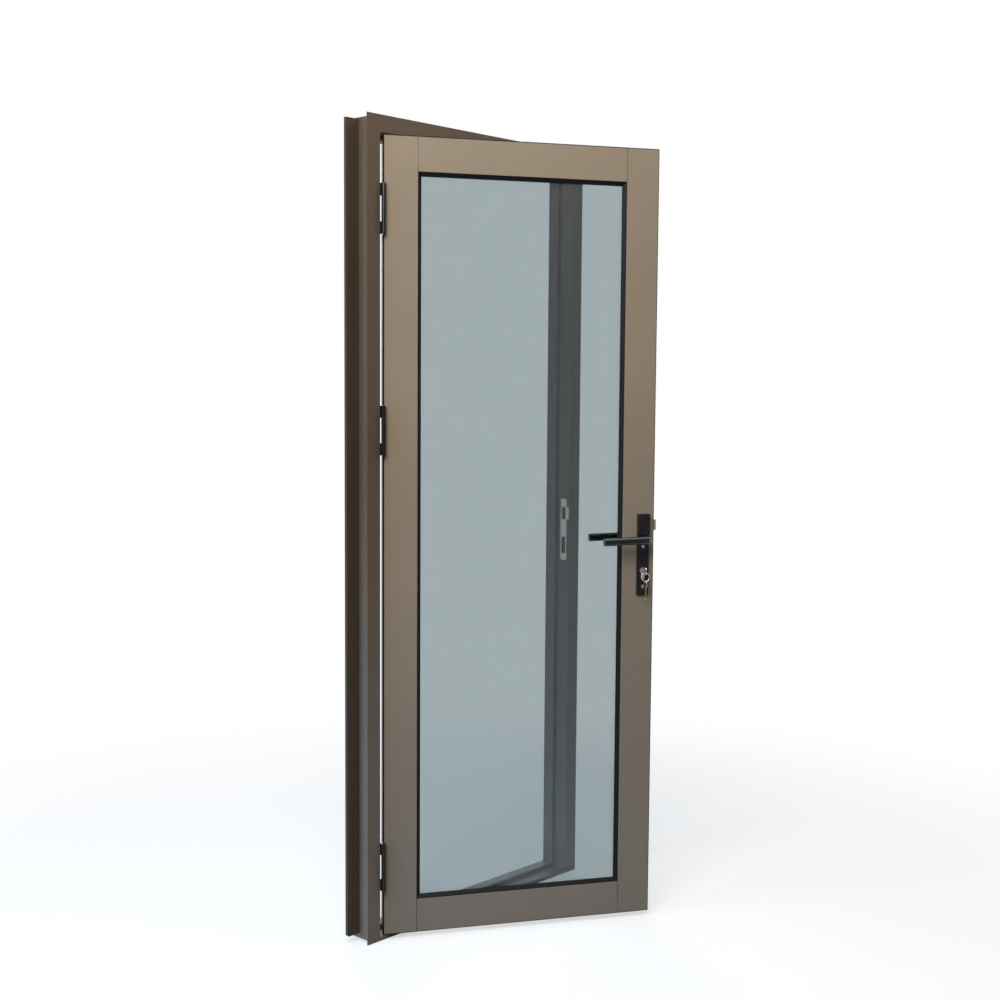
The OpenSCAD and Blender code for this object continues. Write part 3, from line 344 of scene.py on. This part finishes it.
# The fixed frame gets a darker copy of the leaf's bronze, and its rear trims the darkest copy: painted
# shade
# Darker coats of painted shade for the frame and its trims
shaded_frame_coat = bronze_coat("shaded_frame_coat", FRAME_SHADED_LIGHT, FRAME_SHADED_DARK, FRAME_GREYING, sheen=0.18)
shaded_trim_coat = bronze_coat("shaded_trim_coat", TRIM_SHADED_LIGHT, TRIM_SHADED_DARK, TRIM_GREYING, sheen=0.2)
painted_shade_coats = {
    "hinge_jamb": shaded_frame_coat,
    "strike_jamb": shaded_frame_coat,
    "head": shaded_frame_coat,
    "sill": shaded_frame_coat,
    "hinge_trim": shaded_trim_coat,
    "strike_trim": shaded_trim_coat,
}


def dress_nodes():
    """Give the frame and its trims their darker coats of painted shade, and every other piece the material
    of its slot.
    """
    slots = {row["node"]: row["material_slot"] for row in frame["record"]["subparts"]}
    for name, obj in nodes.items():
        obj.data.materials.clear()
        obj.data.materials.append(painted_shade_coats.get(name, materials[slots[name]]))


# Even light from all sides
AMBIENT = (0.92, 0.96, 1.0)
AMBIENT_STRENGTH = 0.115


def add_world():
    """White for what the camera and glass see, a white backdrop before a dimmer room for what metal
    reflects, and soft even light on the rest."""
    world = bpy.data.worlds.new("studio")
    scene.world = world
    t = Tree(world)
    even = t.tree.nodes["Background"]
    even.inputs["Color"].default_value = (*AMBIENT, 1)
    even.inputs["Strength"].default_value = AMBIENT_STRENGTH
    white = t.add("ShaderNodeBackground")
    room = t.add("ShaderNodeBackground")
    for node in (white, room):
        node.inputs["Color"].default_value = (*BACKDROP, 1)
    t.link(t.room_fade(t.place("Generated")), room.inputs["Strength"])
    unseen = t.mix_shaders(t.seen_by("Is Glossy Ray"), even.outputs[0], room.outputs[0])
    seen = t.seen_by("Is Camera Ray", "Is Transmission Ray")
    surface = t.mix_shaders(seen, unseen, white.outputs[0])
    t.link(surface, t.tree.nodes["World Output"].inputs["Surface"])


# Half the floor's side and its place below the sill, in metres
FLOOR_HALF = 30.0
FLOOR_DROP = 0.001
# The floor's own colour, and the light it adds for the camera, which keeps its shadow faint
FLOOR_GREY = (0.36, 0.36, 0.36)
FLOOR_GLOW = 0.58
# Distances in metres from the middle, over which the floor turns into plain backdrop
FLOOR_FADE = (0.9, 2.6)


def add_floor():
    """A floor that shows white apart from the object's shadow, and fades into the backdrop."""
    mesh = bpy.data.meshes.new("floor")
    corners = [(x * FLOOR_HALF, y * FLOOR_HALF, 0) for x, y in ((-1, -1), (1, -1), (1, 1), (-1, 1))]
    mesh.from_pydata(corners, [], [(0, 1, 2, 3)])
    floor = bpy.data.objects.new("floor", mesh)
    floor.location = (0, 0, -FLOOR_DROP)
    scene.collection.objects.link(floor)
    t = Material("pale_floor")
    t.set(Base_Color=(*FLOOR_GREY, 1), Roughness=0.8, Specular_IOR_Level=0.0)
    here = t.place("Object")
    way = t.add("ShaderNodeVectorMath", operation="NORMALIZE")
    t.link(here, way.inputs[0])
    shine = t.combine("MULTIPLY", t.seen_by("Is Glossy Ray"), t.room_fade(way.outputs["Vector"]))
    seen = t.combine("MAXIMUM", t.seen_by("Is Camera Ray", "Is Transmission Ray"), shine)
    glow = t.add("ShaderNodeEmission")
    t.link(t.span(seen, low=0.0, high=FLOOR_GLOW), glow.inputs["Strength"])
    near = t.add("ShaderNodeAddShader")
    t.link(t.bsdf.outputs[0], near.inputs[0])
    t.link(glow.outputs[0], near.inputs[1])
    far = t.add("ShaderNodeEmission")
    t.link(seen, far.inputs["Strength"])
    length = t.add("ShaderNodeVectorMath", operation="LENGTH")
    t.link(here, length.inputs[0])
    fade = t.remap(length.outputs["Value"], FLOOR_FADE, interpolation="SMOOTHSTEP")
    t.link(t.mix_shaders(fade, near.outputs[0], far.outputs[0]), t.surface)
    mesh.materials.append(t.mat)


def add_lamp(name, at, aim, size, watts, colour, shines=True):
    """An area lamp, unseen by the camera and through glass, and seen in reflections only if it shines."""
    data = bpy.data.lights.new(name, "AREA")
    data.shape = "RECTANGLE"
    data.size, data.size_y = size
    data.energy = watts
    data.color = colour
    lamp = bpy.data.objects.new(name, data)
    lamp.location = at
    lamp.rotation_euler = (Vector(aim) - Vector(at)).to_track_quat("-Z", "Y").to_euler()
    lamp.visible_camera = False
    lamp.visible_transmission = False
    lamp.visible_glossy = shines
    scene.collection.objects.link(lamp)


# Colours of the lamps
WARM = (1.0, 0.965, 0.92)
PALE_WARM = (1.0, 0.97, 0.93)
PALE_COOL = (0.94, 0.97, 1.0)
DAYLIGHT = (0.96, 0.98, 1.0)
BLUE = (0.36, 0.64, 1.0)


def add_lamps():
    """A high key, a blue lamp on the frame's outer side, small ones above and for the edge's highlight, a
    weak fill from the right, and one from behind."""
    add_lamp("key", (-2.45, -1.6, 3.25), aim=(-0.1, -0.25, 1.65), size=(2.0, 2.0), watts=160, colour=WARM)
    add_lamp("cool", (-3.2, 0.9, 1.2), aim=(-0.4, 0.05, 1.0), size=(1.4, 2.0), watts=115, colour=BLUE,
             shines=False)
    add_lamp("top", (0.4, -0.9, 3.0), aim=(0.25, -0.45, 1.0), size=(0.8, 0.8), watts=12, colour=PALE_WARM)
    add_lamp("edge", (-3.0, 0.6, 1.2), aim=(-0.4, 0.0, 1.1), size=(0.25, 2.2), watts=5, colour=PALE_COOL)
    add_lamp("fill", (2.2, -4.2, 2.2), aim=(0.0, 0.0, 1.0), size=(2.5, 2.5), watts=8, colour=PALE_COOL,
             shines=False)
    add_lamp("back", (2.6, 3.4, 3.0), aim=(0.0, 0.0, 1.1), size=(2.5, 2.5), watts=120, colour=DAYLIGHT)


add_camera()
dress_nodes()
add_world()
add_floor()
add_lamps()
